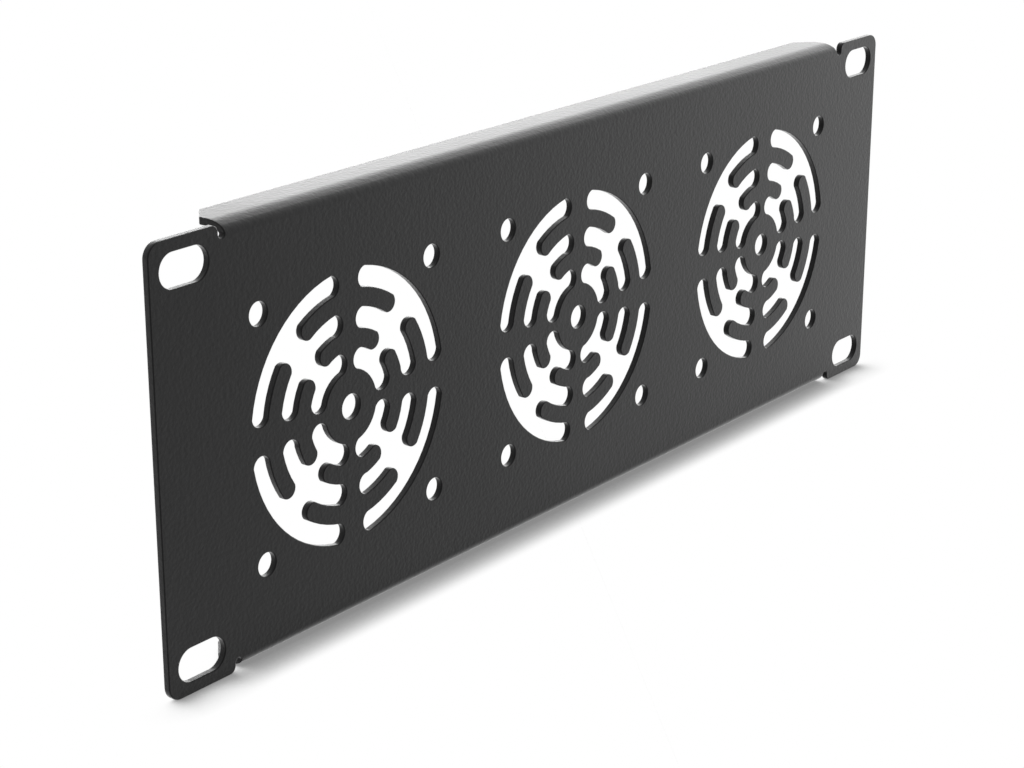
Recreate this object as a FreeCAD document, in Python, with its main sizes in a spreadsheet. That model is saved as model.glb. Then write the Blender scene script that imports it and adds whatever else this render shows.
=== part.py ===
import FreeCAD, Part
import math
import os
import Sketcher

# Rack fan panel for a ten inch rack, two units high: one steel sheet with three fan grilles cut
# into it, an ear at each end and a stiffening flange folded back along the top and the bottom.
# Millimetres. X runs along the panel, Z is up and the front looks along -Y. The origin is the
# middle of the rack slots, on the rear face of the sheet, which is the face that meets the rack.

SIZES = [
    # The sheet and its outline.
    ("panel_width", 254.0, "over both ears"),
    ("panel_height", 88.1, "over the ears and the flanges: two rack units less clearance"),
    ("sheet_thickness", 1.5, "of the steel"),
    ("ear_corner_radius", 3.0, "outer corners of the ears"),
    # The folded flanges.
    ("ear_length", 19.2, "from a flange's end to the end of the panel"),
    ("flange_depth", 10.5, "from the front face to the rear edge"),
    ("flange_corner_cut", 4.0, "45 degree cut on each rear corner"),
    ("bend_inner_radius", 0.7, "inside of both bends, beside the front wall"),
    ("bend_ease_radius", 6.0, "inside of the wider curve that leads from a bend into its flange"),
    ("bend_ease_angle", 25.0, "degrees of the fold that the wider curve turns"),
    # The notches that free the flanges from the ears.
    ("relief_width", 1.7, "between a flange and an ear"),
    ("ear_inner_radius", 1.5, "corner of the ear beside a notch"),
    # The slots for the rack screws.
    ("slot_from_end", 8.75, "from a slot's centre to the end of the panel: 236.5 between slots"),
    ("slot_from_edge", 5.95, "from a slot's centre to the ear's edge: 76.2 between slots"),
    ("slot_length", 12.2, "over the round ends"),
    ("slot_width", 6.8, "clears an M6 screw"),
    # The row of fans.
    ("fan_count", 3, "in the row"),
    ("fan_pitch", 75.0, "between fan axes"),
    ("fan_hole_spacing", 50.0, "screw square of a 60 mm fan"),
    ("fan_hole_diameter", 4.8, "clearance for fan screws"),
    ("hub_hole_diameter", 5.2, "hole on each fan's axis"),
    # The grille of each fan: three rings of slots, four ribs and four diagonal channels.
    ("grille_radius", 28.0, "outside of the outermost ring"),
    ("ring_width", 4.2, "of an open ring"),
    ("bar_width", 3.9, "of the sheet between two rings"),
    ("rib_half_angle", 6.5, "degrees, from a rib's middle to the ring ends"),
    ("channel_half_angle", 7.4, "degrees, from a channel's middle to the bar ends"),
    ("end_half_turn", 72.5, "degrees, half the arc of a ring or bar end: 90 is a half circle"),
]

RINGS = 3
QUARTERS = 4
START, END, CENTRE = range(1, 4)
ORIGIN = (-1, 1)


def make_sheet(doc):
    sheet = doc.addObject("Spreadsheet::Sheet", "sizes")
    for row, (alias, value, meaning) in enumerate(SIZES, start=1):
        sheet.set(f"A{row}", alias)
        sheet.set(f"B{row}", str(value))
        sheet.setAlias(f"B{row}", alias)
        sheet.set(f"C{row}", meaning)
    doc.recompute()
    return sheet


# Sketch helpers: positions are read from the same formulas that bind the dimensions.

def worked_out(sketch, formula):
    """The present value of a formula in the sheet's sizes, in millimetres or degrees."""
    value = sketch.evalExpression(formula)
    return float(getattr(value, "Value", value))


def new_sketch(body, name, plane_role):
    sketch = body.newObject("Sketcher::SketchObject", name)
    plane = next(item for item in body.Origin.OriginFeatures if item.Role == plane_role)
    sketch.AttachmentSupport = [(plane, "")]
    sketch.MapMode = "FlatFace"
    return sketch


def line(sketch, start, end):
    return sketch.addGeometry(Part.LineSegment(FreeCAD.Vector(*start), FreeCAD.Vector(*end)))


def arc(sketch, centre, radius, first, last):
    """A counter-clockwise arc between two directions given in degrees."""
    circle = Part.Circle(FreeCAD.Vector(*centre), FreeCAD.Vector(0, 0, 1), radius)
    return sketch.addGeometry(Part.ArcOfCircle(circle, math.radians(first), math.radians(last)))


def join(sketch, kind, *ends):
    """Ties two ends of geometry together, with Tangent for a smooth joint."""
    sketch.addConstraint(Sketcher.Constraint(kind, *ends))


def lie(sketch, kind, *lines):
    for index in lines:
        sketch.addConstraint(Sketcher.Constraint(kind, index))


def dimension(sketch, name, formula, kind, *where):
    """A named dimension of the sketch, bound to a formula in the sheet's sizes."""
    value = worked_out(sketch, formula)
    if kind == "Angle":
        value = math.radians(value)
    index = sketch.addConstraint(Sketcher.Constraint(kind, *where, value))
    sketch.renameConstraint(index, name)
    sketch.setExpression("Constraints." + name, formula)


# Formulas that several sketches share.

BEND_OUTER_RADIUS = "(sizes.bend_inner_radius + sizes.sheet_thickness)"
EASE_OUTER_RADIUS = "(sizes.bend_ease_radius + sizes.sheet_thickness)"
EASE_STEP = "(sizes.bend_ease_radius - sizes.bend_inner_radius)"
EASE_TURN = "(sizes.bend_ease_angle * 1 deg)"
PANEL_TOP = "(sizes.panel_height / 2)"
BEND_LINE = f"({PANEL_TOP} - {EASE_OUTER_RADIUS} + {EASE_STEP} * cos({EASE_TURN}))"
FLANGE_END = "(sizes.panel_width / 2 - sizes.ear_length)"
RELIEF_MIDDLE = f"({FLANGE_END} + sizes.relief_width / 2)"
FLANGE_REAR = "(sizes.flange_depth - sizes.sheet_thickness)"
SLOT_ACROSS = "(sizes.panel_width / 2 - sizes.slot_from_end)"
SLOT_UP = f"({PANEL_TOP} - sizes.slot_from_edge)"
SLOT_STRAIGHT = "(sizes.slot_length - sizes.slot_width)"
FIRST_FAN = "-(sizes.fan_count - 1) / 2 * sizes.fan_pitch"


def channel_section(body):
    """The section across the folded sheet: front wall, two bends and two flanges.

    A bend is a tight curve beside the front wall and a wider one that leads into the flange.
    """
    sketch = new_sketch(body, "channel_section", "YZ_Plane")
    front = -worked_out(sketch, "sizes.sheet_thickness")
    rear = worked_out(sketch, FLANGE_REAR)
    top = worked_out(sketch, PANEL_TOP)
    under = top + front
    bend = worked_out(sketch, BEND_LINE)
    inner = worked_out(sketch, "sizes.bend_inner_radius")
    outer = worked_out(sketch, BEND_OUTER_RADIUS)
    ease_inner = worked_out(sketch, "sizes.bend_ease_radius")
    ease_outer = worked_out(sketch, EASE_OUTER_RADIUS)
    change = 90 + worked_out(sketch, EASE_TURN)
    flat = inner + worked_out(sketch, f"{EASE_STEP} * sin({EASE_TURN})")
    ease = top - ease_outer

    top_face = line(sketch, (rear, top), (flat, top))
    top_ease = arc(sketch, (flat, ease), ease_outer, 90, change)
    top_bend = arc(sketch, (inner, bend), outer, change, 180)
    front_face = line(sketch, (front, bend), (front, -bend))
    low_bend = arc(sketch, (inner, -bend), outer, 180, 360 - change)
    low_ease = arc(sketch, (flat, -ease), ease_outer, 360 - change, 270)
    low_face = line(sketch, (flat, -top), (rear, -top))
    low_edge = line(sketch, (rear, -top), (rear, -under))
    low_inside = line(sketch, (rear, -under), (flat, -under))
    low_inner_ease = arc(sketch, (flat, -ease), ease_inner, 360 - change, 270)
    low_inner_bend = arc(sketch, (inner, -bend), inner, 180, 360 - change)
    rear_face = line(sketch, (0, -bend), (0, bend))
    top_inner_bend = arc(sketch, (inner, bend), inner, change, 180)
    top_inner_ease = arc(sketch, (flat, ease), ease_inner, 90, change)
    top_inside = line(sketch, (flat, under), (rear, under))
    top_edge = line(sketch, (rear, under), (rear, top))

    join(sketch, "Tangent", top_face, END, top_ease, START)
    join(sketch, "Tangent", top_ease, END, top_bend, START)
    join(sketch, "Tangent", top_bend, END, front_face, START)
    join(sketch, "Tangent", front_face, END, low_bend, START)
    join(sketch, "Tangent", low_bend, END, low_ease, START)
    join(sketch, "Tangent", low_ease, END, low_face, START)
    join(sketch, "Coincident", low_face, END, low_edge, START)
    join(sketch, "Coincident", low_edge, END, low_inside, START)
    join(sketch, "Tangent", low_inside, END, low_inner_ease, END)
    join(sketch, "Tangent", low_inner_ease, START, low_inner_bend, END)
    join(sketch, "Tangent", low_inner_bend, START, rear_face, START)
    join(sketch, "Tangent", rear_face, END, top_inner_bend, END)
    join(sketch, "Tangent", top_inner_bend, START, top_inner_ease, END)
    join(sketch, "Tangent", top_inner_ease, START, top_inside, START)
    join(sketch, "Coincident", top_inside, END, top_edge, START)
    join(sketch, "Coincident", top_edge, END, top_face, START)
    join(sketch, "Coincident", top_bend, CENTRE, top_inner_bend, CENTRE)
    join(sketch, "Coincident", low_bend, CENTRE, low_inner_bend, CENTRE)
    join(sketch, "Coincident", top_ease, CENTRE, top_inner_ease, CENTRE)
    join(sketch, "Coincident", low_ease, CENTRE, low_inner_ease, CENTRE)
    join(sketch, "Equal", top_bend, low_bend)
    join(sketch, "Equal", top_ease, low_ease)
    join(sketch, "Equal", top_face, low_face)
    lie(sketch, "Horizontal", top_face, top_inside, low_face, low_inside)
    lie(sketch, "Vertical", front_face, rear_face, top_edge, low_edge)
    join(sketch, "PointOnObject", rear_face, START, -2)
    dimension(sketch, "thickness", "sizes.sheet_thickness",
              "DistanceX", front_face, START, rear_face, END)
    dimension(sketch, "inner_bend", "sizes.bend_inner_radius", "Radius", top_inner_bend)
    dimension(sketch, "inner_ease", "sizes.bend_ease_radius", "Radius", top_inner_ease)
    dimension(sketch, "ease_turn", EASE_TURN, "Angle", top_ease)
    dimension(sketch, "rear_edge", FLANGE_REAR, "DistanceX", *ORIGIN, top_face, START)
    dimension(sketch, "half_up", PANEL_TOP, "DistanceY", *ORIGIN, top_face, START)
    dimension(sketch, "half_down", PANEL_TOP, "DistanceY", low_face, END, *ORIGIN)
    return sketch


def ear_outline(body):
    """The right ear, from the middle of its relief notches to the end of the panel."""
    sketch = new_sketch(body, "ear_outline", "XZ_Plane")
    inside = worked_out(sketch, RELIEF_MIDDLE)
    outside = worked_out(sketch, "sizes.panel_width / 2")
    top = worked_out(sketch, PANEL_TOP)
    corner = worked_out(sketch, "sizes.ear_corner_radius")

    low_edge = line(sketch, (inside, -top), (outside - corner, -top))
    low_corner = arc(sketch, (outside - corner, corner - top), corner, 270, 360)
    end_edge = line(sketch, (outside, corner - top), (outside, top - corner))
    top_corner = arc(sketch, (outside - corner, top - corner), corner, 0, 90)
    top_edge = line(sketch, (outside - corner, top), (inside, top))
    inner_edge = line(sketch, (inside, top), (inside, -top))

    join(sketch, "Tangent", low_edge, END, low_corner, START)
    join(sketch, "Tangent", low_corner, END, end_edge, START)
    join(sketch, "Tangent", end_edge, END, top_corner, START)
    join(sketch, "Tangent", top_corner, END, top_edge, START)
    join(sketch, "Coincident", top_edge, END, inner_edge, START)
    join(sketch, "Coincident", inner_edge, END, low_edge, START)
    join(sketch, "Equal", low_corner, top_corner)
    lie(sketch, "Horizontal", low_edge, top_edge)
    lie(sketch, "Vertical", end_edge, inner_edge)
    dimension(sketch, "corner", "sizes.ear_corner_radius", "Radius", top_corner)
    dimension(sketch, "half_width", "sizes.panel_width / 2", "DistanceX", *ORIGIN, end_edge, END)
    dimension(sketch, "inner_end", RELIEF_MIDDLE, "DistanceX", *ORIGIN, inner_edge, START)
    dimension(sketch, "half_up", PANEL_TOP, "DistanceY", *ORIGIN, top_edge, END)
    dimension(sketch, "half_down", PANEL_TOP, "DistanceY", low_edge, START, *ORIGIN)
    return sketch


def relief_outline(body):
    """The notch at the upper right: round at the bend line, flared at the ear's corner."""
    sketch = new_sketch(body, "relief_outline", "XZ_Plane")
    notch = worked_out(sketch, "sizes.relief_width / 2")
    flare = worked_out(sketch, "sizes.ear_inner_radius")
    left = worked_out(sketch, FLANGE_END)
    right = left + 2 * notch
    top = worked_out(sketch, PANEL_TOP)
    low = worked_out(sketch, f"{BEND_LINE} + sizes.relief_width / 2")

    flange_side = line(sketch, (left, top), (left, low))
    round_end = arc(sketch, (left + notch, low), notch, 180, 360)
    ear_side = line(sketch, (right, low), (right, top - flare))
    ear_corner = arc(sketch, (right + flare, top - flare), flare, 90, 180)
    mouth = line(sketch, (right + flare, top), (left, top))

    join(sketch, "Tangent", flange_side, END, round_end, START)
    join(sketch, "Tangent", round_end, END, ear_side, START)
    join(sketch, "Tangent", ear_side, END, ear_corner, END)
    join(sketch, "Tangent", ear_corner, START, mouth, START)
    join(sketch, "Coincident", mouth, END, flange_side, START)
    lie(sketch, "Vertical", flange_side, ear_side)
    lie(sketch, "Horizontal", mouth)
    dimension(sketch, "flange_end", FLANGE_END, "DistanceX", *ORIGIN, flange_side, START)
    dimension(sketch, "notch_round", "sizes.relief_width / 2", "Radius", round_end)
    dimension(sketch, "ear_round", "sizes.ear_inner_radius", "Radius", ear_corner)
    dimension(sketch, "mouth_height", PANEL_TOP, "DistanceY", *ORIGIN, mouth, END)
    dimension(sketch, "round_height", f"{BEND_LINE} + sizes.relief_width / 2",
              "DistanceY", *ORIGIN, round_end, CENTRE)
    return sketch


def flange_corner_outline(body):
    """The triangle cut off the flanges' rear corners at the right, seen from above."""
    sketch = new_sketch(body, "flange_corner_outline", "XY_Plane")
    end = worked_out(sketch, FLANGE_END)
    rear = worked_out(sketch, FLANGE_REAR)
    cut = worked_out(sketch, "sizes.flange_corner_cut")

    along = line(sketch, (end - cut, rear), (end, rear))
    down = line(sketch, (end, rear), (end, rear - cut))
    slope = line(sketch, (end, rear - cut), (end - cut, rear))

    join(sketch, "Coincident", along, END, down, START)
    join(sketch, "Coincident", down, END, slope, START)
    join(sketch, "Coincident", slope, END, along, START)
    join(sketch, "Equal", along, down)
    lie(sketch, "Horizontal", along)
    lie(sketch, "Vertical", down)
    dimension(sketch, "flange_end", FLANGE_END, "DistanceX", *ORIGIN, along, END)
    dimension(sketch, "rear_edge", FLANGE_REAR, "DistanceY", *ORIGIN, along, END)
    dimension(sketch, "cut", "sizes.flange_corner_cut", "DistanceX", along, START, along, END)
    return sketch


def rack_slot_outline(body):
    """The slot at the upper right, long along X."""
    sketch = new_sketch(body, "rack_slot_outline", "XZ_Plane")
    radius = worked_out(sketch, "sizes.slot_width / 2")
    near = worked_out(sketch, f"{SLOT_ACROSS} - {SLOT_STRAIGHT} / 2")
    far = near + worked_out(sketch, SLOT_STRAIGHT)
    height = worked_out(sketch, SLOT_UP)

    top_side = line(sketch, (near, height + radius), (far, height + radius))
    far_end = arc(sketch, (far, height), radius, 270, 450)
    low_side = line(sketch, (far, height - radius), (near, height - radius))
    near_end = arc(sketch, (near, height), radius, 90, 270)

    join(sketch, "Tangent", top_side, END, far_end, END)
    join(sketch, "Tangent", far_end, START, low_side, START)
    join(sketch, "Tangent", low_side, END, near_end, END)
    join(sketch, "Tangent", near_end, START, top_side, START)
    join(sketch, "Equal", near_end, far_end)
    lie(sketch, "Horizontal", top_side)
    dimension(sketch, "end_round", "sizes.slot_width / 2", "Radius", far_end)
    dimension(sketch, "between_ends", SLOT_STRAIGHT,
              "DistanceX", near_end, CENTRE, far_end, CENTRE)
    dimension(sketch, "near_end", f"{SLOT_ACROSS} - {SLOT_STRAIGHT} / 2",
              "DistanceX", *ORIGIN, near_end, CENTRE)
    dimension(sketch, "height", SLOT_UP, "DistanceY", *ORIGIN, far_end, CENTRE)
    return sketch


def first_fan_sketch(body, name):
    """A sketch on the sheet's rear face whose origin is on the axis of the first fan."""
    sketch = new_sketch(body, name, "XZ_Plane")
    sketch.setExpression("AttachmentOffset.Base.x", FIRST_FAN)
    return sketch


def fan_hole_outline(body):
    sketch = first_fan_sketch(body, "fan_hole_outline")
    side = worked_out(sketch, "sizes.fan_hole_spacing / 2")
    radius = worked_out(sketch, "sizes.fan_hole_diameter / 2")
    upward = FreeCAD.Vector(0, 0, 1)
    hole = sketch.addGeometry(Part.Circle(FreeCAD.Vector(side, side), upward, radius))
    dimension(sketch, "across", "sizes.fan_hole_spacing / 2", "DistanceX", *ORIGIN, hole, CENTRE)
    dimension(sketch, "up", "sizes.fan_hole_spacing / 2", "DistanceY", *ORIGIN, hole, CENTRE)
    dimension(sketch, "hole", "sizes.fan_hole_diameter", "Diameter", hole)
    return sketch


def hub_hole_outline(body):
    sketch = first_fan_sketch(body, "hub_hole_outline")
    radius = worked_out(sketch, "sizes.hub_hole_diameter / 2")
    hole = sketch.addGeometry(Part.Circle(FreeCAD.Vector(), FreeCAD.Vector(0, 0, 1), radius))
    join(sketch, "Coincident", hole, CENTRE, *ORIGIN)
    dimension(sketch, "hole", "sizes.hub_hole_diameter", "Diameter", hole)
    return sketch


def ring_edge(ring, inner):
    """The formula for the radius of a ring's outer or inner edge."""
    rings_in = ring + 1 if inner else ring
    return f"(sizes.grille_radius - {rings_in} * sizes.ring_width - {ring} * sizes.bar_width)"


def grille_quarter_outline(body):
    """One quarter of a grille: a diagonal channel with three arms reaching towards each rib.

    The arms are rings about the fan's axis. They end in arcs that touch the rib's side, and the
    bars between them end in arcs that touch the channel's side.
    """
    sketch = first_fan_sketch(body, "grille_quarter_outline")
    rib = worked_out(sketch, "sizes.rib_half_angle")
    channel = worked_out(sketch, "sizes.channel_half_angle")
    half_turn = worked_out(sketch, "sizes.end_half_turn")
    reach = worked_out(sketch, "sizes.grille_radius")
    diagonal = 45

    def guide(name, angle, formula):
        """A construction line from the fan's axis, as long as the grille's radius."""
        heading = math.radians(angle)
        side = line(sketch, (0, 0), (reach * math.cos(heading), reach * math.sin(heading)))
        sketch.toggleConstruction(side)
        join(sketch, "Coincident", side, START, *ORIGIN)
        dimension(sketch, name + "_angle", formula, "Angle", side)
        dimension(sketch, name + "_reach", "sizes.grille_radius", "Distance", side)
        return side

    def round_end(name, outer, inner, side_angle, side, turn):
        """An arc across a ring or a bar, from edge to edge, that bulges out to a side line.

        outer and inner are the formulas of the two edges. turn is 1 where the arc bulges
        counter-clockwise about the fan's axis, and -1 where it bulges clockwise.
        """
        middle_formula = f"({outer} + {inner}) / 2"
        radius_formula = f"({outer} - {inner}) / 2 / sin(sizes.end_half_turn * 1 deg)"
        middle = worked_out(sketch, middle_formula)
        radius = worked_out(sketch, radius_formula)
        angle = side_angle - turn * math.degrees(math.asin(radius / middle))
        heading = math.radians(angle)
        centre = (middle * math.cos(heading), middle * math.sin(heading))
        outward = angle + turn * 90
        end = arc(sketch, centre, radius, outward - half_turn, outward + half_turn)
        join(sketch, "Tangent", end, side)
        dimension(sketch, name + "_middle", middle_formula, "Distance", *ORIGIN, end, CENTRE)
        dimension(sketch, name + "_radius", radius_formula, "Radius", end)
        ends = (START, END) if turn > 0 else (END, START)
        return {"arc": end, "angle": angle, "outer": ends[0], "inner": ends[1]}

    def ring_arc(name, formula, lower, lower_end, upper, upper_end):
        """An arc about the fan's axis that joins two round ends, the lower angle first."""
        edge = arc(sketch, (0, 0), worked_out(sketch, formula), lower["angle"], upper["angle"])
        join(sketch, "Coincident", edge, CENTRE, *ORIGIN)
        join(sketch, "Coincident", edge, START, lower["arc"], lower[lower_end])
        join(sketch, "Coincident", edge, END, upper["arc"], upper[upper_end])
        dimension(sketch, name, formula, "Radius", edge)

    rib_low = guide("rib_low", rib, "sizes.rib_half_angle * 1 deg")
    rib_high = guide("rib_high", 90 - rib, "90 deg - sizes.rib_half_angle * 1 deg")
    channel_low = guide("channel_low", diagonal - channel, "45 deg - sizes.channel_half_angle * 1 deg")
    channel_high = guide("channel_high", diagonal + channel, "45 deg + sizes.channel_half_angle * 1 deg")

    def arms(name, side_angle, side, turn):
        return [round_end(f"{name}_{ring}", ring_edge(ring, False), ring_edge(ring, True),
                          side_angle, side, turn) for ring in range(RINGS)]

    def bars(name, side_angle, side, turn):
        return [round_end(f"{name}_{ring}", ring_edge(ring, True), ring_edge(ring + 1, False),
                          side_angle, side, turn) for ring in range(RINGS - 1)]

    low_arms = arms("low_arm", rib, rib_low, -1)
    high_arms = arms("high_arm", 90 - rib, rib_high, 1)
    low_bars = bars("low_bar", diagonal - channel, channel_low, 1)
    high_bars = bars("high_bar", diagonal + channel, channel_high, -1)

    ring_arc("outside", ring_edge(0, False), low_arms[0], "outer", high_arms[0], "outer")
    ring_arc("hub", ring_edge(RINGS - 1, True), low_arms[-1], "inner", high_arms[-1], "inner")
    for bar in range(RINGS - 1):
        outer, inner = ring_edge(bar, True), ring_edge(bar + 1, False)
        ring_arc(f"low_outer_{bar}", outer, low_arms[bar], "inner", low_bars[bar], "outer")
        ring_arc(f"low_inner_{bar}", inner, low_arms[bar + 1], "outer", low_bars[bar], "inner")
        ring_arc(f"high_outer_{bar}", outer, high_bars[bar], "outer", high_arms[bar], "inner")
        ring_arc(f"high_inner_{bar}", inner, high_bars[bar], "inner", high_arms[bar + 1], "outer")
    return sketch


# Features of the body.

def add(body, kind, name, sketch):
    feature = body.newObject("PartDesign::" + kind, name)
    feature.Profile = sketch
    return feature


def sheet_pocket(body, name, sketch):
    """A cut through the sheet, from its rear face to its front face."""
    pocket = add(body, "Pocket", name, sketch)
    pocket.Reversed = True
    pocket.setExpression("Length", "sizes.sheet_thickness")
    return pocket


def through_pocket(body, name, sketch):
    """A cut through everything on both sides of the sketch."""
    pocket = add(body, "Pocket", name, sketch)
    pocket.SideType = "Symmetric"
    pocket.Type = "ThroughAll"
    return pocket


def mirror(body, name, role):
    plane = next(item for item in body.Origin.OriginFeatures if item.Role == role)
    mirrored = body.newObject("PartDesign::Mirrored", name)
    mirrored.MirrorPlane = (plane, [""])
    return mirrored


def left_and_right(body, feature):
    """Repeats a feature of the right end at the left end."""
    mirrored = mirror(body, feature.Name + "_left", "YZ_Plane")
    mirrored.Originals = [feature]
    body.Tip = mirrored
    return mirrored


def at_four_corners(body, feature):
    """Repeats a feature of the upper right at the panel's other three corners."""
    corners = body.newObject("PartDesign::MultiTransform", feature.Name + "_corners")
    corners.Originals = [feature]
    corners.Transformations = [mirror(body, feature.Name + "_left", "YZ_Plane"),
                               mirror(body, feature.Name + "_low", "XY_Plane")]
    body.Tip = corners
    return corners


def along_the_row(body, feature, sketch):
    """The step from the first fan to the others."""
    row = body.newObject("PartDesign::LinearPattern", feature.Name + "_row")
    row.Direction = (sketch, ["H_Axis"])
    row.Mode = "Spacing"
    row.setExpression("Offset", "sizes.fan_pitch")
    row.setExpression("Occurrences", "sizes.fan_count")
    return row


def on_every_fan(body, feature, sketch):
    """Repeats a feature four times about a fan's axis and on every fan of the row."""
    quarters = body.newObject("PartDesign::PolarPattern", feature.Name + "_quarters")
    quarters.Axis = (sketch, ["N_Axis"])
    quarters.Angle = 360
    quarters.Occurrences = QUARTERS
    fans = body.newObject("PartDesign::MultiTransform", feature.Name + "_fans")
    fans.Originals = [feature]
    fans.Transformations = [quarters, along_the_row(body, feature, sketch)]
    body.Tip = fans
    return fans


def make_panel(doc):
    body = doc.addObject("PartDesign::Body", "fan_panel")
    body.Label = "fan_panel"

    folded = add(body, "Pad", "folded_sheet", channel_section(body))
    folded.SideType = "Symmetric"
    folded.setExpression("Length", f"2 * {RELIEF_MIDDLE}")

    ear = add(body, "Pad", "ear", ear_outline(body))
    ear.setExpression("Length", "sizes.sheet_thickness")
    left_and_right(body, ear)

    cuts = [at_four_corners(body, through_pocket(body, "relief", relief_outline(body)))]
    corner = through_pocket(body, "flange_corner", flange_corner_outline(body))
    cuts.append(left_and_right(body, corner))
    cuts.append(at_four_corners(body, sheet_pocket(body, "rack_slot", rack_slot_outline(body))))

    hole_sketch = fan_hole_outline(body)
    fan_hole = sheet_pocket(body, "fan_hole", hole_sketch)
    cuts.append(on_every_fan(body, fan_hole, hole_sketch))

    hub_sketch = hub_hole_outline(body)
    hub_hole = sheet_pocket(body, "hub_hole", hub_sketch)
    hub_row = along_the_row(body, hub_hole, hub_sketch)
    hub_row.Originals = [hub_hole]
    body.Tip = hub_row
    cuts.append(hub_row)

    quarter_sketch = grille_quarter_outline(body)
    quarter = sheet_pocket(body, "grille_quarter", quarter_sketch)
    cuts.append(on_every_fan(body, quarter, quarter_sketch))
    doc.recompute()
    return body, cuts


def check(doc, body, cuts):
    """Stops before anything is written if a feature failed or a cut removed nothing."""
    for item in doc.Objects:
        if "Invalid" in item.State or "Error" in item.State:
            raise RuntimeError(f"{item.Name} failed: {item.State}")
    volume = doc.getObject("ear_left").Shape.Volume
    for cut in cuts:
        if not cut.Shape.Volume < volume:
            raise RuntimeError(f"{cut.Name} removed nothing")
        volume = cut.Shape.Volume
    if body.Shape.isNull() or not body.Shape.isValid():
        raise RuntimeError(f"{body.Label} has no valid shape")
    if len(body.Shape.Solids) != 1:
        raise RuntimeError(f"{body.Label} is in {len(body.Shape.Solids)} pieces")


def main():
    doc = FreeCAD.newDocument("rack_fan_panel")
    make_sheet(doc)
    body, cuts = make_panel(doc)
    check(doc, body, cuts)
    os.makedirs("parts", exist_ok=True)
    body.Shape.exportStep(os.path.join("parts", body.Label + ".step"))
    box = body.Shape.BoundBox
    print(f"{body.Label}: {box.XLength:.2f} x {box.YLength:.2f} x {box.ZLength:.2f} mm,",
          f"{body.Shape.Volume:.0f} mm3, {len(body.Shape.Faces)} faces")


main()
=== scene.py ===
"""Rack fan panel: one folded steel sheet in a fine-textured black powder coat, on a white floor.

Metres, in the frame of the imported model: X along the panel, Y to the rear, Z up.
"""
import math

import bmesh
import bpy
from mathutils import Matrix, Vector


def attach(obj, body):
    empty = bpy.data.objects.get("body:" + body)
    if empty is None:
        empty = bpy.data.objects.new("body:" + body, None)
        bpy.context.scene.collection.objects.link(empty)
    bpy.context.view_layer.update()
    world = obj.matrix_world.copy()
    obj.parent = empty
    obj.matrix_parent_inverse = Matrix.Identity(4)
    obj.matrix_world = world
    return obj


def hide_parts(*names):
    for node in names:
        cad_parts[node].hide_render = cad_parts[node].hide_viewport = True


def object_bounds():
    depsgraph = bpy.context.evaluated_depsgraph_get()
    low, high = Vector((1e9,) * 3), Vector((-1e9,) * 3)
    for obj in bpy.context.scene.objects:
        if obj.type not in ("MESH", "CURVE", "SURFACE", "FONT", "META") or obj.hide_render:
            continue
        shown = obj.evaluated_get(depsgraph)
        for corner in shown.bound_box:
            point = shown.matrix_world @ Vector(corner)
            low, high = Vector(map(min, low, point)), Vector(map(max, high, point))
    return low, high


MILLIMETRE = 0.001

# The sheet: its flat facets are joined, then the coat rounds every edge that is sharp.
WELD_DISTANCE = 0.001 * MILLIMETRE
FLAT_ANGLE = math.radians(0.3)
SHARP_ANGLE = math.radians(30)
EDGE_ROUND = 0.25 * MILLIMETRE
EDGE_STEPS = 4
CIRCULAR = 0.5

# The powder coat: its darkest and lightest grey, a little blue, and how it shines.
COAT_DARK = 0.0045
COAT_LIGHT = 0.0065
BLUISH = 1.04
REFRACTION = 1.15
ROUGHNESS = 0.55
SHEEN = 0.9
SHEEN_ROUGHNESS = 0.38

# The coat's texture: sizes and heights of its grain and pebbles, and its uneven gloss.
GRAIN_SIZE = 0.8 * MILLIMETRE
GRAIN_HEIGHT = 0.04 * MILLIMETRE
PEBBLE_SIZE = 1.6 * MILLIMETRE
PEBBLE_HEIGHT = 0.03 * MILLIMETRE
CLOUD_SIZE = 40 * MILLIMETRE
NOISE_ROUGHNESS = 0.55
SPECKLE_RANGE = (0.30, 0.75)
CLOUD_RANGE = (0.3, 0.7)
GLOSS_SPREAD = 0.04

# The camera, from the vanishing lines of the panel.
CAMERA_PLACE = Vector((-0.4008, -0.2935, 0.1534))
CAMERA_YAW = math.radians(52.24)
CAMERA_PITCH = math.radians(-18.82)
SENSOR_WIDTH = 36.0
IMAGE_WIDTH = 1024
FOCAL_PIXELS = 2367
NEAREST_SEEN = 10 * MILLIMETRE

# The floor: its contact shadow goes by the open share of the space around a direction that leans
# from straight up towards the rear, where the light comes from.
FLOOR_SIDE = 30.0
FLOOR_WHITE = 0.92
CONTACT_REACH = 9 * MILLIMETRE
CONTACT_LEAN = math.radians(60)
CONTACT_SAMPLES = 16
OPEN_RANGE = (0.2, 1.0)
SHADE_RANGE = (0.24, 1.0)

# The world: what lights the panel from all round, and what is seen as the background.
AMBIENT = 0.8
BACKGROUND_WHITE = 1.0


def grey(level, blue=1.0):
    return (level, level, level * blue, 1)


def node_graph(owner):
    """The empty node tree of a material or a world."""
    owner.use_nodes = True
    graph = owner.node_tree
    graph.nodes.clear()
    return graph


def add_node(graph, kind, **settings):
    """A node with its own settings by name, and its inputs by name in a dictionary."""
    node = graph.nodes.new(kind)
    inputs = settings.pop("inputs", {})
    for name, value in settings.items():
        setattr(node, name, value)
    for name, value in inputs.items():
        node.inputs[name].default_value = value
    return node


def stretched(graph, value, before, after, **settings):
    """A value taken from one range to another."""
    node = add_node(graph, "ShaderNodeMapRange",
                    inputs={"From Min": before[0], "From Max": before[1],
                            "To Min": after[0], "To Max": after[1]},
                    **settings)
    graph.links.new(value, node.inputs["Value"])
    return node.outputs["Result"]


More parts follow.
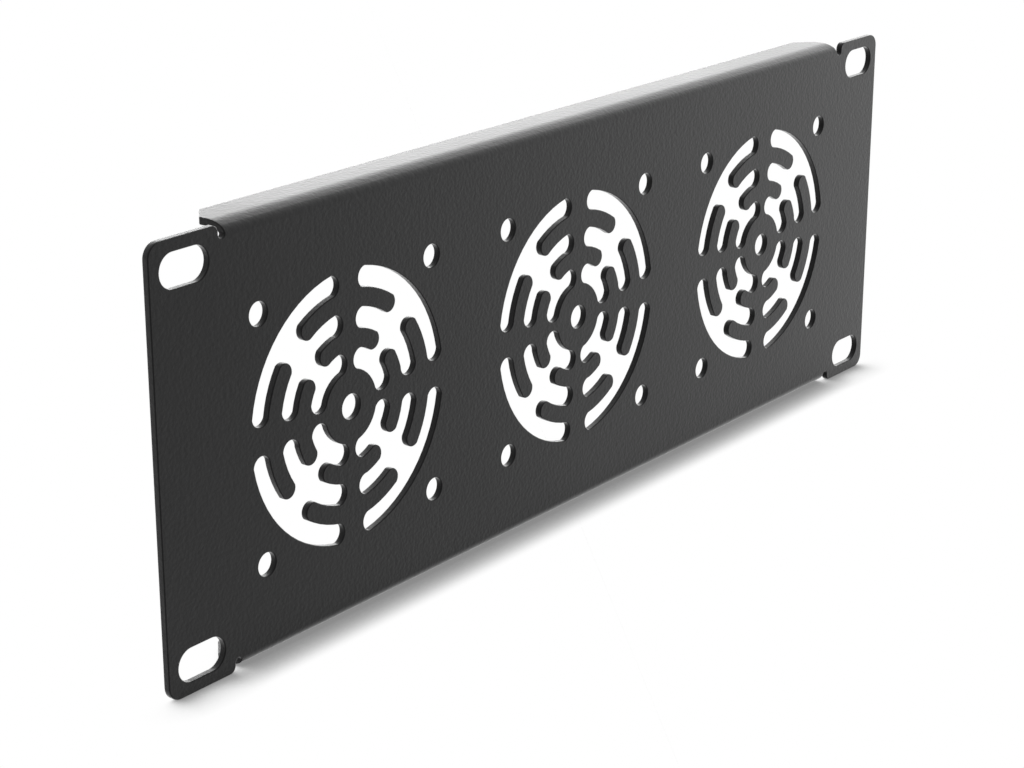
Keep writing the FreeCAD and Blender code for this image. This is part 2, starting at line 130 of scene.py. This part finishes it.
def camera_glossy_or_transmission(graph):
    """One where a ray comes from the camera, a reflection or a transmission, and zero elsewhere."""
    path = add_node(graph, "ShaderNodeLightPath")
    seen = add_node(graph, "ShaderNodeMath", operation="MAXIMUM")
    shown = add_node(graph, "ShaderNodeMath", operation="MAXIMUM")
    graph.links.new(path.outputs["Is Camera Ray"], seen.inputs[0])
    graph.links.new(path.outputs["Is Glossy Ray"], seen.inputs[1])
    graph.links.new(seen.outputs[0], shown.inputs[0])
    graph.links.new(path.outputs["Is Transmission Ray"], shown.inputs[1])
    return shown.outputs[0]


def powder_coat():
    """Black powder coat: a fine pebbled skin, a little uneven in colour and gloss."""
    material = bpy.data.materials.new("powder_coat")
    graph = node_graph(material)
    link = graph.links.new
    place = add_node(graph, "ShaderNodeTexCoord").outputs["Object"]

    def noise(size, detail):
        texture = add_node(graph, "ShaderNodeTexNoise",
                           inputs={"Scale": 1 / size, "Detail": detail, "Roughness": NOISE_ROUGHNESS})
        link(place, texture.inputs["Vector"])
        return texture.outputs["Fac"]

    def bump(pattern, height):
        node = add_node(graph, "ShaderNodeBump", inputs={"Strength": 1.0, "Distance": height})
        link(pattern, node.inputs["Height"])
        return node

    grain = noise(GRAIN_SIZE, detail=2.0)
    pebbles = noise(PEBBLE_SIZE, detail=1.0)
    clouds = noise(CLOUD_SIZE, detail=3.0)

    speckle = add_node(graph, "ShaderNodeValToRGB")
    greys = (COAT_DARK, COAT_LIGHT)
    for stop, position, level in zip(speckle.color_ramp.elements, SPECKLE_RANGE, greys):
        stop.position = position
        stop.color = grey(level, BLUISH)
    link(grain, speckle.inputs["Fac"])

    gloss = stretched(graph, clouds, CLOUD_RANGE,
                      (ROUGHNESS - GLOSS_SPREAD, ROUGHNESS + GLOSS_SPREAD))

    skin = bump(pebbles, PEBBLE_HEIGHT)
    fine = bump(grain, GRAIN_HEIGHT)
    link(skin.outputs["Normal"], fine.inputs["Normal"])

    coat = add_node(graph, "ShaderNodeBsdfPrincipled",
                    inputs={"IOR": REFRACTION, "Sheen Weight": SHEEN,
                            "Sheen Roughness": SHEEN_ROUGHNESS})
    link(speckle.outputs["Color"], coat.inputs["Base Color"])
    link(gloss, coat.inputs["Roughness"])
    link(fine.outputs["Normal"], coat.inputs["Normal"])
    output = add_node(graph, "ShaderNodeOutputMaterial")
    link(coat.outputs["BSDF"], output.inputs["Surface"])
    return material


def coated_sheet(node, name, box):
    """A copy of the CAD sheet with its cut edges rounded by the coat, kept inside the CAD box."""
    shape = bmesh.new()
    shape.from_mesh(node.data)
    bmesh.ops.remove_doubles(shape, verts=shape.verts, dist=WELD_DISTANCE)
    bmesh.ops.dissolve_limit(shape, angle_limit=FLAT_ANGLE, verts=shape.verts, edges=shape.edges)
    sharp = [edge for edge in shape.edges if edge.calc_face_angle(0) > SHARP_ANGLE]
    bmesh.ops.bevel(shape, geom=sharp, offset=EDGE_ROUND, offset_type="OFFSET", affect="EDGES",
                    segments=EDGE_STEPS, profile=CIRCULAR, loop_slide=False, clamp_overlap=False)
    for point in shape.verts:
        point.co = [min(max(value, least), most) for value, least, most in zip(point.co, *box)]
    for face in shape.faces:
        face.smooth = True
    mesh = bpy.data.meshes.new(name)
    shape.to_mesh(mesh)
    shape.free()
    sheet = bpy.data.objects.new(name, mesh)
    bpy.context.scene.collection.objects.link(sheet)
    normals = sheet.modifiers.new("flat_faces_stay_flat", "WEIGHTED_NORMAL")
    normals.keep_sharp = True
    return sheet


def make_floor(height):
    """White floor with a contact shadow, deepest before the panel since the light is behind it."""
    bpy.ops.mesh.primitive_plane_add(size=FLOOR_SIDE, location=(0, 0, height))
    floor = bpy.context.object
    floor.name = "floor"
    material = bpy.data.materials.new("white_floor")
    graph = node_graph(material)
    link = graph.links.new
    matt = add_node(graph, "ShaderNodeBsdfDiffuse", inputs={"Color": grey(FLOOR_WHITE)})
    open_share = add_node(graph, "ShaderNodeAmbientOcclusion", samples=CONTACT_SAMPLES,
                          inputs={"Distance": CONTACT_REACH})
    towards_light = add_node(graph, "ShaderNodeCombineXYZ",
                             inputs={"Y": math.sin(CONTACT_LEAN), "Z": math.cos(CONTACT_LEAN)})
    link(towards_light.outputs["Vector"], open_share.inputs["Normal"])
    shade = stretched(graph, open_share.outputs["AO"], OPEN_RANGE, SHADE_RANGE,
                      interpolation_type="SMOOTHSTEP")
    glow = add_node(graph, "ShaderNodeEmission")
    both = add_node(graph, "ShaderNodeMixShader")
    output = add_node(graph, "ShaderNodeOutputMaterial")
    link(shade, glow.inputs["Strength"])
    link(camera_glossy_or_transmission(graph), both.inputs["Fac"])
    link(matt.outputs[0], both.inputs[1])
    link(glow.outputs[0], both.inputs[2])
    link(both.outputs[0], output.inputs["Surface"])
    floor.data.materials.append(material)


def make_world():
    """Even light from all round, with a white background."""
    world = bpy.data.worlds.new("studio")
    graph = node_graph(world)
    level = stretched(graph, camera_glossy_or_transmission(graph), (0, 1), (AMBIENT, BACKGROUND_WHITE))
    background = add_node(graph, "ShaderNodeBackground", inputs={"Color": grey(1)})
    output = add_node(graph, "ShaderNodeOutputWorld")
    graph.links.new(level, background.inputs["Strength"])
    graph.links.new(background.outputs[0], output.inputs["Surface"])
    bpy.context.scene.world = world


def direction(azimuth, elevation):
    """The unit vector at an angle from +X towards +Y, and an angle up from level."""
    level = math.cos(elevation)
    return Vector((level * math.cos(azimuth), level * math.sin(azimuth), math.sin(elevation)))


def aim(thing, target):
    thing.rotation_mode = "QUATERNION"
    thing.rotation_quaternion = (target - thing.location).to_track_quat("-Z", "Y")


def make_light(name, kind, azimuth, elevation, distance, strength, **settings):
    """A lamp aimed at the panel, with its direction in degrees from +X towards +Y and up."""
    light = bpy.data.lights.new(name, kind)
    light.energy = strength
    for key, value in settings.items():
        setattr(light, key, value)
    lamp = bpy.data.objects.new(name, light)
    lamp.location = distance * direction(math.radians(azimuth), math.radians(elevation))
    aim(lamp, Vector((0, 0, 0)))
    bpy.context.scene.collection.objects.link(lamp)


def make_camera():
    """The photo's view: the yaw turns from +Y towards +X."""
    lens = bpy.data.cameras.new("camera")
    lens.sensor_width = SENSOR_WIDTH
    lens.lens = FOCAL_PIXELS / IMAGE_WIDTH * SENSOR_WIDTH
    lens.clip_start = NEAREST_SEEN
    camera = bpy.data.objects.new("camera", lens)
    camera.location = CAMERA_PLACE
    aim(camera, CAMERA_PLACE + direction(math.pi / 2 - CAMERA_YAW, CAMERA_PITCH))
    bpy.context.scene.collection.objects.link(camera)
    bpy.context.scene.camera = camera


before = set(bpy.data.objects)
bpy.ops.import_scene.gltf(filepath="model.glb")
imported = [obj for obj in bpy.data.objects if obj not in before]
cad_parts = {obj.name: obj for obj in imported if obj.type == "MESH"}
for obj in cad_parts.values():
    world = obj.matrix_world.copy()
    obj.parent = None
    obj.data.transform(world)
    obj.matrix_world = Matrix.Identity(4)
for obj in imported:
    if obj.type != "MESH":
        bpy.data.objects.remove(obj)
cad_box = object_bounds()

panel = coated_sheet(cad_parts["fan_panel"], "coated_fan_panel", cad_box)
panel.data.materials.append(powder_coat())
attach(panel, "root")
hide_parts("fan_panel")

make_floor(cad_box[0].z)
make_world()
make_light("overhead", "SUN", azimuth=55, elevation=68, distance=2.0, strength=1.3,
           angle=math.radians(60))
make_light("backlight", "AREA", azimuth=50, elevation=15, distance=3.0, strength=70,
           shape="RECTANGLE", size=1.9, size_y=0.9)
make_light("fill", "AREA", azimuth=-5, elevation=35, distance=2.0, strength=6,
           shape="RECTANGLE", size=1.2, size_y=0.8)
make_light("side_light", "AREA", azimuth=-25, elevation=4, distance=1.1, strength=2.5,
           shape="RECTANGLE", size=0.7, size_y=0.25)
make_camera()
bpy.context.scene.view_settings.view_transform = "Standard"
